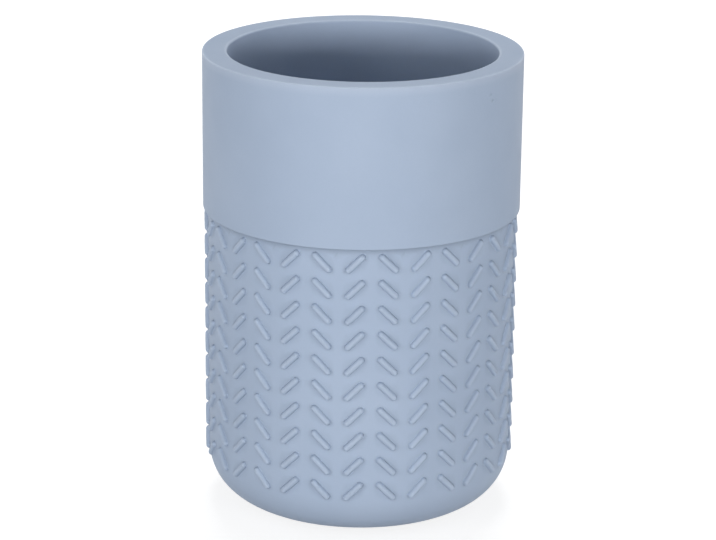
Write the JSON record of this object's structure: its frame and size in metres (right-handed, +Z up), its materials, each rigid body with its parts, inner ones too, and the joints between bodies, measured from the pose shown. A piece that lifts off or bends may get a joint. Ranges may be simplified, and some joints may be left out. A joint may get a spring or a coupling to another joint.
{
  "type": "bathroom tumbler",
  "caption": "Round bathroom tumbler of cast resin, with a smooth upper band, a round heel and slanted raised bars on the lower wall; it stands on a foam pad.",
  "frame": {"origin": "centre of the foam pad's underside, on the surface that the tumbler stands on", "axes": "+Z up along the tumbler's axis towards the rim; -Y is the front, where a column of right-leaning bars faces"},
  "size_m": [0.075, 0.075, 0.11],
  "materials": {
    "polyresin": "satin",
    "foam": "matte",
    "adhesive": "gloss"
  },
  "bodies": {
    "root": {"cast_body": "polyresin", "pad_adhesive": "adhesive", "base_pad": "foam"}
  },
  "joints": []
}
